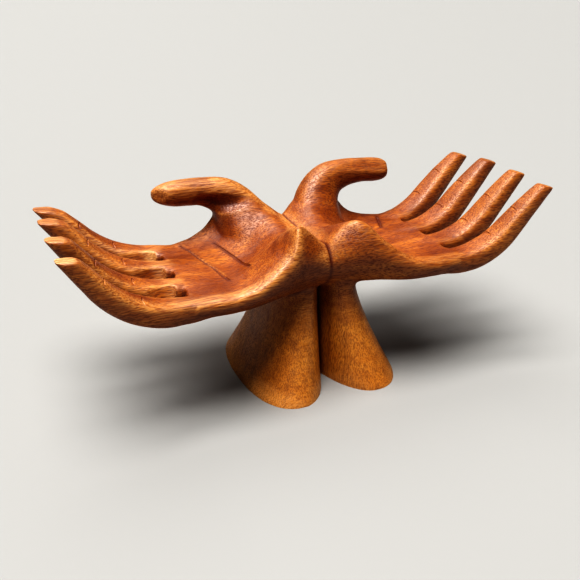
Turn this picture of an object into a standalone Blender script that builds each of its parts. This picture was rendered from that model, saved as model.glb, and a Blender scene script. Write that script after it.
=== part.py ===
"""A jewelry stand of two carved wooden hands, palms up, joined at the wrists.

Each hand is one carving from the fingertips to the foot. The two carvings are glued on a flat face between
the wrists and located by two dowels. X runs along the hands, +Y is the thumbs' side, and the feet stand on
Z = 0. Left and right are as seen from the front. Lengths are in metres.

A carving is described in three distances: its reach out from the glued face, its depth along Y and its
height.
"""

import math

import bmesh
import bpy
import numpy as np

# Forearm: a cone of rounded section that flares from the wrist down to the foot and up into the heel
FOOT_REACH = 0.0457
FOOT_HALF_DEPTH = 0.0472
WRIST_REACH = 0.0220
WRIST_HALF_DEPTH = 0.0235
WRIST_HEIGHT = 0.0600
FOREARM_DEPTH_CENTRE = -0.0015
FOREARM_FLARE = 1.30
FOREARM_SQUARENESS = 2.4
FOREARM_TOP = 0.0740
HEEL_START = 0.0360
HEEL_FLARE = 1.5

# The carvings are shaped a little past the glued face and below the floor, then cut flat there
TRIM = 0.0040
BLANK_SIZE = 0.2000
GLUE_GAP = 0.0003

# Palm, from the glued face to the roots of the fingers
PALM_LENGTH = 0.0770
PALM_CROWN = 0.0015
PALM_BACK_RIM_INSET = 0.0050
PALM_SLOPE_RUN = 0.0090
PALM_UNDER_INSET = 0.0110

# Fingers: the underside runs level from the palm, bends up round an arc, then goes straight to the tip
FINGER_ROOT_OVERLAP = 0.0200
FINGER_BURIED_SIZE = 0.60
FINGER_UNDERSIDE = 0.0568
FINGER_BEND_RADIUS = 0.0500
FINGER_ROOT_SQUARENESS = 3.0
FINGER_TIP_SQUARENESS = 2.3
# share of the way from the root to the tip, thickness, width
FINGER_PROFILE = (
    (0.00, 0.0140, 0.0185),
    (0.35, 0.0143, 0.0178),
    (0.65, 0.0130, 0.0154),
    (0.86, 0.0108, 0.0120),
    (1.00, 0.0078, 0.0094),
    (1.12, 0.0060, 0.0074),
)
# depth of the root; depth, reach and height of the tip; size against the profile; bend added to the hand's
FINGERS = {
    "index": (0.0362, 0.0535, 0.1405, 0.0962, 1.01, math.radians(-7)),
    "middle": (0.0131, 0.0233, 0.1413, 0.0994, 1.02, math.radians(-3)),
    "ring": (-0.0101, -0.0058, 0.1408, 0.0998, 0.97, math.radians(0)),
    "little": (-0.0318, -0.0324, 0.1396, 0.0990, 0.92, math.radians(0)),
}
# The tips are cut off on a slope that falls outwards
FINGERTIP_TILT = math.radians(24)
FINGERTIP_SPARE = 0.0080
FINGERTIP_CUT_WIDTH = 0.0140
FINGERTIP_CUT_LENGTH = 0.0240

# What differs between the two carvings, which were shaped by hand:
# palm: share of the palm's length, depth of the front edge, the front rim and the back edge,
# then height of the front rim, the bowl, the back rim and the underside
# thumb: reach, depth and height of the section's centre, half its thickness, half its breadth
HANDS = {
    "left_hand": {
        "side": -1,
        "finger_bend": math.radians(57),
        "heel_half_depth": 0.0270,
        "palm": (
            (-0.05, -0.0310, -0.0260, 0.0440, 0.0770, 0.0775, 0.0775, 0.0580),
            (0.08, -0.0330, -0.0255, 0.0460, 0.0870, 0.0820, 0.0865, 0.0580),
            (0.21, -0.0360, -0.0270, 0.0500, 0.0965, 0.0810, 0.0940, 0.0580),
            (0.36, -0.0385, -0.0315, 0.0530, 0.0820, 0.0720, 0.0960, 0.0580),
            (0.57, -0.0410, -0.0355, 0.0510, 0.0725, 0.0670, 0.0775, 0.0570),
            (0.80, -0.0410, -0.0360, 0.0482, 0.0695, 0.0685, 0.0700, 0.0562),
            (1.00, -0.0405, -0.0355, 0.0455, 0.0695, 0.0705, 0.0700, 0.0575),
        ),
        "thumb": (
            (0.0190, 0.0220, 0.0640, 0.0170, 0.0130),
            (0.0220, 0.0330, 0.0740, 0.0165, 0.0125),
            (0.0270, 0.0425, 0.0848, 0.0143, 0.0110),
            (0.0345, 0.0470, 0.0927, 0.0113, 0.0096),
            (0.0460, 0.0485, 0.0964, 0.0083, 0.0086),
            (0.0580, 0.0485, 0.0965, 0.0067, 0.0078),
            (0.0700, 0.0483, 0.0960, 0.0058, 0.0068),
            (0.0758, 0.0482, 0.0957, 0.0043, 0.0050),
        ),
    },
    "right_hand": {
        "side": 1,
        "finger_bend": math.radians(48),
        "heel_half_depth": 0.0315,
        "palm": (
            (-0.05, -0.0310, -0.0260, 0.0440, 0.0770, 0.0775, 0.0770, 0.0580),
            (0.08, -0.0330, -0.0255, 0.0460, 0.0870, 0.0820, 0.0850, 0.0580),
            (0.21, -0.0360, -0.0270, 0.0500, 0.0960, 0.0820, 0.0920, 0.0580),
            (0.36, -0.0385, -0.0315, 0.0530, 0.0890, 0.0740, 0.0950, 0.0580),
            (0.57, -0.0410, -0.0355, 0.0520, 0.0765, 0.0670, 0.0790, 0.0570),
            (0.80, -0.0410, -0.0360, 0.0485, 0.0725, 0.0685, 0.0700, 0.0562),
            (1.00, -0.0405, -0.0355, 0.0455, 0.0715, 0.0705, 0.0700, 0.0575),
        ),
        "thumb": (
            (0.0175, 0.0220, 0.0640, 0.0165, 0.0130),
            (0.0205, 0.0330, 0.0740, 0.0160, 0.0125),
            (0.0255, 0.0425, 0.0850, 0.0140, 0.0110),
            (0.0340, 0.0472, 0.0938, 0.0112, 0.0097),
            (0.0460, 0.0485, 0.0973, 0.0086, 0.0086),
            (0.0580, 0.0485, 0.0974, 0.0070, 0.0078),
            (0.0700, 0.0483, 0.0967, 0.0062, 0.0070),
            (0.0760, 0.0482, 0.0963, 0.0047, 0.0053),
        ),
    },
}
THUMB_SQUARENESS = 2.3

# Dowels across the glued face
DOWEL_RADIUS = 0.0040
DOWEL_CLEARANCE = 0.0003
DOWEL_CHAMFER = 0.0008
DOWEL_SIDES = 24
UPPER_DOWEL_HEIGHT = 0.0520
UPPER_DOWEL_HALF_LENGTH = 0.0120
LOWER_DOWEL_HEIGHT = 0.0180
LOWER_DOWEL_HALF_LENGTH = 0.0200

# From the middle of the forearms back to the middle of the whole stand
DEPTH_SHIFT = -0.0049

# Colour and roughness of the woods
STAINED_WOOD = ((0.32, 0.105, 0.028), 0.42)
DOWEL_WOOD = ((0.55, 0.38, 0.20), 0.60)

# How finely the carved surface is drawn
RING_POINTS = 40
SECTION_STEPS = 28
CARVING_VOXEL = 0.0015
SMOOTHING_ROUNDS = 6
KEPT_FACES = 0.085


def smooth_through(knots, rows, at):
    """Rows of numbers read at the given places on a smooth curve through the rows at the knots."""
    knots = np.asarray(knots, float)
    rows = np.asarray(rows, float)
    slopes = np.gradient(rows, knots, axis=0)
    right = np.clip(np.searchsorted(knots, at), 1, len(knots) - 1)
    left = right - 1
    span = knots[right] - knots[left]
    t = ((at - knots[left]) / span)[:, None]
    span = span[:, None]
    return (
        (1 + 2 * t) * (1 - t) ** 2 * rows[left]
        + t * (1 - t) ** 2 * span * slopes[left]
        + t**2 * (3 - 2 * t) * rows[right]
        + t**2 * (t - 1) * span * slopes[right]
    )


def superellipse(half_width, half_height, squareness):
    """Points round a rounded oval: an ellipse at a squareness of 2, squarer above it."""
    angles = np.linspace(0, 2 * math.pi, RING_POINTS, endpoint=False)
    across = np.cos(angles)
    up = np.sin(angles)
    return np.stack(
        [
            half_width * np.sign(across) * np.abs(across) ** (2 / squareness),
            half_height * np.sign(up) * np.abs(up) ** (2 / squareness),
        ],
        axis=1,
    )


def forearm_rings(heel_half_depth):
    """Level sections from below the floor up into the heel of the hand."""
    rings = []
    for height in np.linspace(-TRIM, FOREARM_TOP, SECTION_STEPS):
        flare = max(0.0, 1 - max(height, 0.0) / WRIST_HEIGHT) ** FOREARM_FLARE
        heel = max(0.0, (height - HEEL_START) / (FOREARM_TOP - HEEL_START)) ** HEEL_FLARE
        reach = WRIST_REACH + (FOOT_REACH - WRIST_REACH) * flare
        half_depth = WRIST_HALF_DEPTH + (FOOT_HALF_DEPTH - WRIST_HALF_DEPTH) * flare
        half_depth = half_depth + (heel_half_depth - WRIST_HALF_DEPTH) * heel
        outline = superellipse((reach + TRIM) / 2, half_depth, FOREARM_SQUARENESS)
        level = np.full((RING_POINTS, 1), height)
        centre = np.array([(reach - TRIM) / 2, FOREARM_DEPTH_CENTRE])
        rings.append(np.hstack([outline + centre, level]))
    return rings


def palm_rings(sections):
    """Upright sections of the palm: two rims with a bowl between them over a nearly flat underside."""
    table = np.array(sections)
    shares = np.linspace(table[0, 0], table[-1, 0], SECTION_STEPS)
    rings = []
    for share, row in zip(shares, smooth_through(table[:, 0], table[:, 1:], shares)):
        front, ridge, back, front_rim, bowl, back_rim, under = row
        middle = (front + back) / 2
        corners = np.array(
            [
                (front, (front_rim + under) / 2),
                (ridge, front_rim),
                (ridge + PALM_SLOPE_RUN, (front_rim + bowl) / 2),
                (middle, bowl),
                (back - PALM_BACK_RIM_INSET - PALM_SLOPE_RUN, (back_rim + bowl) / 2),
                (back - PALM_BACK_RIM_INSET, back_rim),
                (back, (back_rim + under) / 2),
                (back - PALM_UNDER_INSET, under),
                (middle, under - PALM_CROWN),
                (front + PALM_UNDER_INSET, under),
            ]
        )
        count = len(corners)
        wrapped = np.concatenate([corners[-2:], corners, corners[:3]])
        knots = np.arange(-2, count + 3)
        outline = smooth_through(knots, wrapped, np.linspace(0, count, RING_POINTS, endpoint=False))
        reach = np.full((RING_POINTS, 1), share * PALM_LENGTH)
        rings.append(np.hstack([reach, outline]))
    return rings


def rings_along(spine, half_thickness, half_breadth, squareness):
    """Sections set square to a spine that bends upwards: breadth along Y, thickness across it."""
    tangents = np.gradient(spine, axis=0)
    sections = zip(spine, tangents, half_thickness, half_breadth, squareness)
    rings = []
    for centre, tangent, thick, broad, square in sections:
        tangent = tangent / np.linalg.norm(tangent)
        across = np.array([0.0, 1.0, 0.0]) - tangent * tangent[1]
        across = across / np.linalg.norm(across)
        up = np.cross(tangent, across)
        outline = superellipse(broad, thick, square)
        rings.append(centre + outline[:, :1] * across + outline[:, 1:] * up)
    return rings


def finger_rings(hand_bend, root_depth, tip_depth, tip_reach, tip_height, size, own_bend):
    """A finger from inside the palm to past the cut at its tip, set out along its underside."""
    bend = hand_bend + own_bend
    rise = tip_height - FINGER_UNDERSIDE - FINGER_BEND_RADIUS * (1 - math.cos(bend))
    straight = rise / math.sin(bend)
    bend_start = tip_reach - straight * math.cos(bend) - FINGER_BEND_RADIUS * math.sin(bend)
    root_reach = PALM_LENGTH - FINGER_ROOT_OVERLAP
    level = bend_start - root_reach
    arc = FINGER_BEND_RADIUS * bend
    runs = np.linspace(0, level + arc + straight + FINGERTIP_SPARE, SECTION_STEPS)
    angle = np.clip((runs - level) / FINGER_BEND_RADIUS, 0, bend)
    past = np.maximum(runs - level - arc, 0)
    reach = np.minimum(root_reach + runs, bend_start)
    reach = reach + FINGER_BEND_RADIUS * np.sin(angle) + past * math.cos(bend)
    height = FINGER_UNDERSIDE + FINGER_BEND_RADIUS * (1 - np.cos(angle)) + past * math.sin(bend)

    share = (runs - FINGER_ROOT_OVERLAP) / (level + arc + straight - FINGER_ROOT_OVERLAP)
    table = np.array(FINGER_PROFILE)
    profile = size * smooth_through(table[:, 0], table[:, 1:], np.clip(share, 0, table[-1, 0]))
    half_thickness = profile[:, 0] / 2
    half_width = profile[:, 1] / 2
    depth = root_depth + (tip_depth - root_depth) * np.maximum(share, 0)
    spine = np.stack(
        [reach - half_thickness * np.sin(angle), depth, height + half_thickness * np.cos(angle)], axis=1
    )
    swell = np.interp(runs, (0, FINGER_ROOT_OVERLAP), (FINGER_BURIED_SIZE, 1))
    squareness = np.interp(share, (0, 1), (FINGER_ROOT_SQUARENESS, FINGER_TIP_SQUARENESS))
    return rings_along(spine, swell * half_thickness, swell * half_width, squareness)


def thumb_rings(sections):
    """The thumb, from inside the heel up and over to its tip."""
    table = np.array(sections)
    knots = np.arange(len(table))
    rows = smooth_through(knots, table, np.linspace(0, len(table) - 1, SECTION_STEPS))
    squareness = np.full(SECTION_STEPS, THUMB_SQUARENESS)
    return rings_along(rows[:, :3], rows[:, 3], rows[:, 4], squareness)


def add_skin(mesh, rings, side):
    """A closed skin over a row of rings."""
    loops = []
    for ring in rings:
        points = [(side * reach, depth + DEPTH_SHIFT, height) for reach, depth, height in ring]
        loops.append([mesh.verts.new(point) for point in points])
    faces = [mesh.faces.new(loops[0][::-1]), mesh.faces.new(loops[-1])]
    for low, high in zip(loops, loops[1:]):
        for i in range(len(low)):
            j = (i + 1) % len(low)
            faces.append(mesh.faces.new((low[i], low[j], high[j], high[i])))
    bmesh.ops.recalc_face_normals(mesh, faces=faces)


def object_from(name, mesh, material=None):
    """A scene object that takes over the bmesh."""
    data = bpy.data.meshes.new(name)
    mesh.to_mesh(data)
    mesh.free()
    obj = bpy.data.objects.new(name, data)
    bpy.context.scene.collection.objects.link(obj)
    if material:
        data.materials.append(material)
    return obj


def modify(obj, name, kind, **settings):
    modifier = obj.modifiers.new(name, kind)
    for key, value in settings.items():
        setattr(modifier, key, value)


def cutter(name, mesh):
    obj = object_from(name, mesh)
    obj.hide_render = True
    obj.display_type = "WIRE"
    return obj


def block_cutter(name, low, high):
    """A box between two corners."""
    mesh = bmesh.new()
    bmesh.ops.create_cube(mesh, size=1)
    for vert in mesh.verts:
        for axis in range(3):
            vert.co[axis] = high[axis] if vert.co[axis] > 0 else low[axis]
    return cutter(name, mesh)


def rod(radius, half_length, height, chamfer):
    """A round bar along X across the glued face, with its ends chamfered."""
    mesh = bmesh.new()
    loops = []
    for x, r in (
        (-half_length, radius - chamfer),
        (chamfer - half_length, radius),
        (half_length - chamfer, radius),
        (half_length, radius - chamfer),
    ):
        angles = np.linspace(0, 2 * math.pi, DOWEL_SIDES, endpoint=False)
        loops.append(
            [
                (x, FOREARM_DEPTH_CENTRE + r * math.cos(angle), height + r * math.sin(angle))
                for angle in angles
            ]
        )
    add_skin(mesh, loops, 1)
    return mesh


def fingertip_cutter(name, side):
    """Blocks above the sloping planes that cut the fingertips of a hand, one for each finger."""
    mesh = bmesh.new()
    along = FINGERTIP_CUT_LENGTH * np.array([math.cos(FINGERTIP_TILT), -math.sin(FINGERTIP_TILT)])
    above = FINGERTIP_CUT_LENGTH * np.array([math.sin(FINGERTIP_TILT), math.cos(FINGERTIP_TILT)])
    for _, depth, reach, height, _, _ in FINGERS.values():
        corner = np.array([reach, height])
        outline = [corner - along, corner + along, corner + along + above, corner - along + above]
        ends = (depth - FINGERTIP_CUT_WIDTH / 2, depth + FINGERTIP_CUT_WIDTH / 2)
        add_skin(mesh, [[(out, end, top) for out, top in outline] for end in ends], side)
    return cutter(name, mesh)


def wood(name, colour, roughness):
    material = bpy.data.materials.new(name)
    material.use_nodes = True
    shader = material.node_tree.nodes["Principled BSDF"]
    shader.inputs["Base Color"].default_value = (*colour, 1)
    shader.inputs["Roughness"].default_value = roughness
    shader.inputs["Metallic"].default_value = 0
    return material


def carve_hand(name, hand, material, dowel_holes):
    """One hand and forearm: skins fused and smoothed into one carving, then cut flat and bored."""
    side = hand["side"]
    mesh = bmesh.new()
    add_skin(mesh, forearm_rings(hand["heel_half_depth"]), side)
    add_skin(mesh, palm_rings(hand["palm"]), side)
    add_skin(mesh, thumb_rings(hand["thumb"]), side)
    for sizes in FINGERS.values():
        add_skin(mesh, finger_rings(hand["finger_bend"], *sizes), side)
    carving = object_from(name, mesh, material)
    modify(carving, "fuse", "REMESH", mode="VOXEL", voxel_size=CARVING_VOXEL)
    modify(carving, "ease", "SMOOTH", factor=0.5, iterations=SMOOTHING_ROUNDS)
    modify(carving, "thin", "DECIMATE", ratio=KEPT_FACES)
    ends = sorted((side * GLUE_GAP / 2, side * BLANK_SIZE))
    blank = block_cutter(name + "_blank", (ends[0], -BLANK_SIZE, 0), (ends[1], BLANK_SIZE, BLANK_SIZE))
    modify(carving, "flats", "BOOLEAN", operation="INTERSECT", solver="EXACT", object=blank)
    for tool in (fingertip_cutter(name + "_fingertips", side), *dowel_holes):
        modify(carving, tool.name, "BOOLEAN", operation="DIFFERENCE", solver="EXACT", object=tool)


def main():
    for obj in list(bpy.data.objects):
        bpy.data.objects.remove(obj)
    stained = wood("stained_wood", *STAINED_WOOD)
    plain = wood("dowel_wood", *DOWEL_WOOD)
    dowels = (
        ("upper_dowel", UPPER_DOWEL_HEIGHT, UPPER_DOWEL_HALF_LENGTH),
        ("lower_dowel", LOWER_DOWEL_HEIGHT, LOWER_DOWEL_HALF_LENGTH),
    )
    holes = []
    for name, height, half_length in dowels:
        object_from(name, rod(DOWEL_RADIUS, half_length, height, DOWEL_CHAMFER), plain)
        bore = rod(DOWEL_RADIUS + DOWEL_CLEARANCE, half_length + DOWEL_CLEARANCE, height, DOWEL_CHAMFER)
        holes.append(cutter(name + "_hole", bore))
    for name, hand in HANDS.items():
        carve_hand(name, hand, stained, holes)


main()
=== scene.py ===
# Carved wooden hand stand for jewelry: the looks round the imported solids
import math

import bmesh
import bpy
import numpy as np
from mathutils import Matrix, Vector
from mathutils.bvhtree import BVHTree


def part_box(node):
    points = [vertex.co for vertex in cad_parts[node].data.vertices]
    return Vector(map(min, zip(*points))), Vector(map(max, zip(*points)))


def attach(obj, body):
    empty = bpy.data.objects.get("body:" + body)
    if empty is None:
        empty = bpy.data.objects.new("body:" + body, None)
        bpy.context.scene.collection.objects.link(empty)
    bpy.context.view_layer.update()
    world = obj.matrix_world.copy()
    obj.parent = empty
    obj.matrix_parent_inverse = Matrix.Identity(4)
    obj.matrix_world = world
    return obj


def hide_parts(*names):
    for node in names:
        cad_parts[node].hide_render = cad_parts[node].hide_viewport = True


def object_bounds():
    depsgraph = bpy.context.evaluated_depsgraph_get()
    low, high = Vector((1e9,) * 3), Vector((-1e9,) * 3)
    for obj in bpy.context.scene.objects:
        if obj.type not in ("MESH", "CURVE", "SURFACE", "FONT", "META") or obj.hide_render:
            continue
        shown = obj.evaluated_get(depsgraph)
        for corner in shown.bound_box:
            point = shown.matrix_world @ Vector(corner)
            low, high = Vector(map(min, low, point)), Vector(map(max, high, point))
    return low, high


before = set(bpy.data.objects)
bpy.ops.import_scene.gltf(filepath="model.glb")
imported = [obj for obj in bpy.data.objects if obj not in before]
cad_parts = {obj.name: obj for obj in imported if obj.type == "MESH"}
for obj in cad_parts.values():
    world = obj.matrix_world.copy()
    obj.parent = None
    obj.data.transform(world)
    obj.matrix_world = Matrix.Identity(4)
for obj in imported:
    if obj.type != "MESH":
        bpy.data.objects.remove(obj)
cadLow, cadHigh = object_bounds()
print("frame loaded:", ", ".join(sorted(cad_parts)))

# Lengths are in metres. A carving is described by its reach out from the glued face, its depth along Y
# and its height, and left and right are as seen from the front.
carving = {
    "depthShift": -0.0049,  # from the middle of the forearms to the middle of the whole stand
    "ringPoints": 96,
    "sectionSteps": 72,
    "lineSteps": 18,  # along a drawn crease or valley
    "voxel": 0.0007,
    "easing": 0.5,  # strength of each round of smoothing
    "blending": 90,  # further rounds where the thumb, heel and forearm grow into each other
    "keptFaces": 0.72,
    "glueGap": 0.00005,  # closer than the solids, so no light shines through the joint
    "weld": 0.000005,
    "sharpAngle": math.radians(42),
}


def smoothThrough(knots, rows, at):  # reads rows of numbers on a smooth curve through the knots
    knots = np.asarray(knots, float)
    rows = np.asarray(rows, float)
    slopes = np.gradient(rows, knots, axis=0)
    right = np.clip(np.searchsorted(knots, at), 1, len(knots) - 1)
    left = right - 1
    span = knots[right] - knots[left]
    t = ((at - knots[left]) / span)[:, None]
    span = span[:, None]
    return (
        (1 + 2 * t) * (1 - t) ** 2 * rows[left]
        + t * (1 - t) ** 2 * span * slopes[left]
        + t**2 * (3 - 2 * t) * rows[right]
        + t**2 * (t - 1) * span * slopes[right]
    )


def pathThrough(points, steps):
    return smoothThrough(np.arange(len(points)), points, np.linspace(0, len(points) - 1, steps))


def easeStep(values, low, high):  # 0 below low, 1 above high, smooth between
    t = np.clip((values - low) / (high - low), 0, 1)
    return t * t * (3 - 2 * t)


def roundedOval(halfWidth, halfHeight, squareness):  # an ellipse at a squareness of 2, squarer above it
    angles = np.linspace(0, 2 * math.pi, carving["ringPoints"], endpoint=False)
    sides = []
    for half, turned in ((halfWidth, np.cos(angles)), (halfHeight, np.sin(angles))):
        sides.append(half * np.sign(turned) * np.abs(turned) ** (2 / squareness))
    return np.stack(sides, axis=1)


forearm = {
    "footReach": 0.0457,
    "footHalfDepth": 0.0472,
    "wristReach": 0.0220,
    "wristHalfDepth": 0.0235,
    "wristHeight": 0.0600,
    "depthCentre": -0.0015,
    "flare": 1.30,
    "squareness": 2.4,
    "seamSquareness": 1.85,  # rounder towards the glued face
    "top": 0.0740,
    "heelStart": 0.0360,
    "heelFlare": 1.5,
    "trim": 0.0040,  # shaped this far past the floor, then cut flat
    "seamTrim": 0.0016,  # and this far past the glued face
}


def forearmRings(heelHalfDepth):
    f = forearm
    rings = []
    for height in np.linspace(-f["trim"], f["top"], carving["sectionSteps"]):
        flare = max(0.0, 1 - max(height, 0.0) / f["wristHeight"]) ** f["flare"]
        heel = max(0.0, (height - f["heelStart"]) / (f["top"] - f["heelStart"])) ** f["heelFlare"]
        reach = f["wristReach"] + (f["footReach"] - f["wristReach"]) * flare
        halfDepth = f["wristHalfDepth"] + (f["footHalfDepth"] - f["wristHalfDepth"]) * flare
        halfDepth += (heelHalfDepth - f["wristHalfDepth"]) * heel
        halfReach = (reach + f["seamTrim"]) / 2
        outline = roundedOval(halfReach, halfDepth, f["squareness"])
        seamSide = roundedOval(halfReach, halfDepth, f["seamSquareness"])
        outline = np.where(outline[:, :1] < 0, seamSide, outline)
        level = np.full((len(outline), 1), height)
        rings.append(np.hstack([outline + ((reach - f["seamTrim"]) / 2, f["depthCentre"]), level]))
    return rings


palm = {
    "length": 0.0770,
    "crown": 0.0015,
    "backRimInset": 0.0050,
    "moundRun": 0.0130,  # from the back rim to the top of the mound below the thumb
    "underInset": 0.0110,
}


def palmRings(sections):  # upright sections: two rims with a bowl and the thumb's mound between them
    table = np.array(sections)
    shares = np.linspace(table[0, 0], table[-1, 0], carving["sectionSteps"])
    rings = []
    for share, row in zip(shares, smoothThrough(table[:, 0], table[:, 1:], shares)):
        front, ridge, crest, back, frontRim, lobe, bowl, mound, backRim, under = row
        middle = (front + back) / 2
        corners = np.array(
            [
                (front, (frontRim + under) / 2),
                (ridge, frontRim),
                (crest, lobe),
                (middle, bowl),
                (back - palm["backRimInset"] - palm["moundRun"], mound),
                (back - palm["backRimInset"], backRim),
                (back, (backRim + under) / 2),
                (back - palm["underInset"], under),
                (middle, under - palm["crown"]),
                (front + palm["underInset"], under),
            ]
        )
        count = len(corners)
        wrapped = np.concatenate([corners[-2:], corners, corners[:3]])  # so the curve closes smoothly
        around = np.linspace(0, count, carving["ringPoints"], endpoint=False)
        outline = smoothThrough(np.arange(-2, count + 3), wrapped, around)
        reach = np.full((len(outline), 1), share * palm["length"])
        rings.append(np.hstack([reach, outline]))
    return rings


def ringsAlong(spine, halfThickness, halfBreadth, squareness):
    rings = []
    tangents = np.gradient(spine, axis=0)
    for centre, tangent, thick, broad, square in zip(spine, tangents, halfThickness, halfBreadth, squareness):
        tangent = tangent / np.linalg.norm(tangent)
        across = np.array([0.0, 1.0, 0.0]) - tangent * tangent[1]
        across /= np.linalg.norm(across)
        up = np.cross(tangent, across)
        outline = roundedOval(broad, thick, square)
        rings.append(centre + outline[:, :1] * across + outline[:, 1:] * up)
    return rings


finger = {
    "rootOverlap": 0.0200,
    "buriedSize": 0.60,
    "underside": 0.0568,
    "bendRadius": 0.0500,
    "rootSquareness": 3.4,
    "tipSquareness": 2.9,
    "spare": 0.0080,
    "cutWidth": 0.0150,
    "rollSteps": 4,
    "trimmedShare": 0.6,  # of the sections, from here to the tip
    # share of the way from the root to the tip, thickness, width
    "profile": (
        (0.00, 0.0140, 0.0185),
        (0.35, 0.0143, 0.0178),
        (0.65, 0.0130, 0.0154),
        (0.86, 0.0108, 0.0120),
        (1.00, 0.0086, 0.0096),
        (1.15, 0.0064, 0.0074),
    ),
    # depth of the root, then depth, reach and height of the tip,
    # then size against the profile and the bend added to the hand's
    "each": {
        "index": (0.0362, 0.0535, 0.1405, 0.0962, 1.01, math.radians(-7)),
        "middle": (0.0131, 0.0233, 0.1413, 0.0994, 1.02, math.radians(-3)),
        "ring": (-0.0101, -0.0058, 0.1408, 0.0998, 0.97, math.radians(0)),
        "little": (-0.0318, -0.0324, 0.1396, 0.0990, 0.92, math.radians(0)),
    },
}


def trimFlat(rings, run, place, facing):  # takes a skin's end off flat, back along its own run
    facing = np.array(facing) / np.linalg.norm(facing)
    run = run / np.linalg.norm(run)
    slant = run @ facing
    first = int(len(rings) * finger["trimmedShare"])
    trimmed = [ring - np.outer(np.maximum((ring - place) @ facing, 0) / slant, run) for ring in rings[first:]]
    return rings[:first] + trimmed


def tipFlats(tip, depth, reach, height, size):  # a sloping cut, then a roll over to the palm side
    along = np.array([math.cos(tip["tilt"]), 0, -math.sin(tip["tilt"])])
    above = np.array([math.sin(tip["tilt"]), 0, math.cos(tip["tilt"])])
    end = np.array([reach, depth, height])
    rollCentre = end - along * tip["flat"] * size + above * (tip["spare"] - tip["roll"])
    for turn in np.linspace(0, tip["turn"], finger["rollSteps"]):
        facing = above * math.cos(turn) - along * math.sin(turn)
        yield rollCentre + tip["roll"] * facing, facing


def fingerRings(hand, rootDepth, tipDepth, tipReach, tipHeight, size, ownBend):
    f = finger
    bend = hand["fingerBend"] + ownBend
    rise = tipHeight - f["underside"] - f["bendRadius"] * (1 - math.cos(bend))
    straight = rise / math.sin(bend)
    bendStart = tipReach - straight * math.cos(bend) - f["bendRadius"] * math.sin(bend)
    rootReach = palm["length"] - f["rootOverlap"]
    level = bendStart - rootReach
    arc = f["bendRadius"] * bend
    runs = np.linspace(0, level + arc + straight + f["spare"], carving["sectionSteps"])
    angle = np.clip((runs - level) / f["bendRadius"], 0, bend)
    past = np.maximum(runs - level - arc, 0)
    reach = np.minimum(rootReach + runs, bendStart) + f["bendRadius"] * np.sin(angle) + past * math.cos(bend)
    height = f["underside"] + f["bendRadius"] * (1 - np.cos(angle)) + past * math.sin(bend)

    share = (runs - f["rootOverlap"]) / (level + arc + straight - f["rootOverlap"])
    table = np.array(f["profile"])
    profile = size * smoothThrough(table[:, 0], table[:, 1:], np.clip(share, 0, table[-1, 0]))
    halfThickness, halfWidth = profile[:, 0] / 2, profile[:, 1] / 2
    depth = rootDepth + (tipDepth - rootDepth) * np.maximum(share, 0)
    spine = np.stack(
        [reach - halfThickness * np.sin(angle), depth, height + halfThickness * np.cos(angle)], axis=1
    )
    swell = np.interp(runs, (0, f["rootOverlap"]), (f["buriedSize"], 1))
    squareness = np.interp(share, (0, 1), (f["rootSquareness"], f["tipSquareness"]))
    rings = ringsAlong(spine, swell * halfThickness, swell * halfWidth, squareness)
    for place, facing in tipFlats(hand["tip"], tipDepth, tipReach, tipHeight, size):
        rings = trimFlat(rings, spine[-1] - spine[-2], place, facing)
    return rings


thumb = {"squareness": 2.3}


def pressFlat(rings, place, facing):  # flattens the side of a skin
    facing = np.array(facing) / np.linalg.norm(facing)
    return [ring - np.outer(np.maximum((ring - place) @ facing, 0), facing) for ring in rings]


def thumbRings(hand):
    rows = pathThrough(hand["thumb"], carving["sectionSteps"])
    rings = ringsAlong(rows[:, :3], rows[:, 3], rows[:, 4], np.full(len(rows), thumb["squareness"]))
    for place, facing in hand["thumbPads"]:
        rings = pressFlat(rings, place, facing)
    for place, facing in hand["thumbFlats"]:
        rings = trimFlat(rings, rows[-1, :3] - rows[-2, :3], place, facing)
    return rings


def addObject(name, data):
    obj = bpy.data.objects.new(name, data)
    bpy.context.scene.collection.objects.link(obj)
    return obj


def objectFrom(name, bm):
    data = bpy.data.meshes.new(name)
    bm.to_mesh(data)
    bm.free()
    return addObject(name, data)


def standPlace(side, reach, depth, height):  # from a carving's own measures to the stand's frame
    return side * reach, depth + carving["depthShift"], height


def handPlaces(co, side):  # and back: reach, depth and height of points in the stand's frame
    return np.stack([side * co[:, 0], co[:, 1] - carving["depthShift"], co[:, 2]], axis=1)


def addSkin(bm, rings, side):
    loops = [[bm.verts.new(standPlace(side, *point)) for point in ring] for ring in rings]
    faces = [bm.faces.new(loops[0][::-1]), bm.faces.new(loops[-1])]
    for low, high in zip(loops, loops[1:]):
        for i in range(len(low)):
            j = (i + 1) % len(low)
            faces.append(bm.faces.new((low[i], low[j], high[j], high[i])))
    bmesh.ops.recalc_face_normals(bm, faces=faces)


def addModifier(obj, name, kind, **settings):
    modifier = obj.modifiers.new(name, kind)
    for key, value in settings.items():
        setattr(modifier, key, value)


def addCut(obj, tool, operation):
    addModifier(obj, tool.name, "BOOLEAN", operation=operation, solver="MANIFOLD", object=tool)


def settle(obj):  # the evaluated shape becomes the object's plain mesh
    graph = bpy.context.evaluated_depsgraph_get()
    data = bpy.data.meshes.new_from_object(obj.evaluated_get(graph))
    obj.modifiers.clear()
    obj.vertex_groups.clear()
    obj.data = data
    return data


def putAway(tools):
    for tool in tools:
        bpy.data.objects.remove(tool)


def closeSlivers(data):  # welds the tiny edges that cuts leave, so the mesh stays closed in any file
    bm = bmesh.new()
    bm.from_mesh(data)
    bmesh.ops.triangulate(bm, faces=bm.faces)
    bmesh.ops.remove_doubles(bm, verts=bm.verts, dist=carving["weld"])
    bmesh.ops.dissolve_degenerate(bm, edges=bm.edges, dist=carving["weld"])
    bm.to_mesh(data)
    bm.free()


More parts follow.
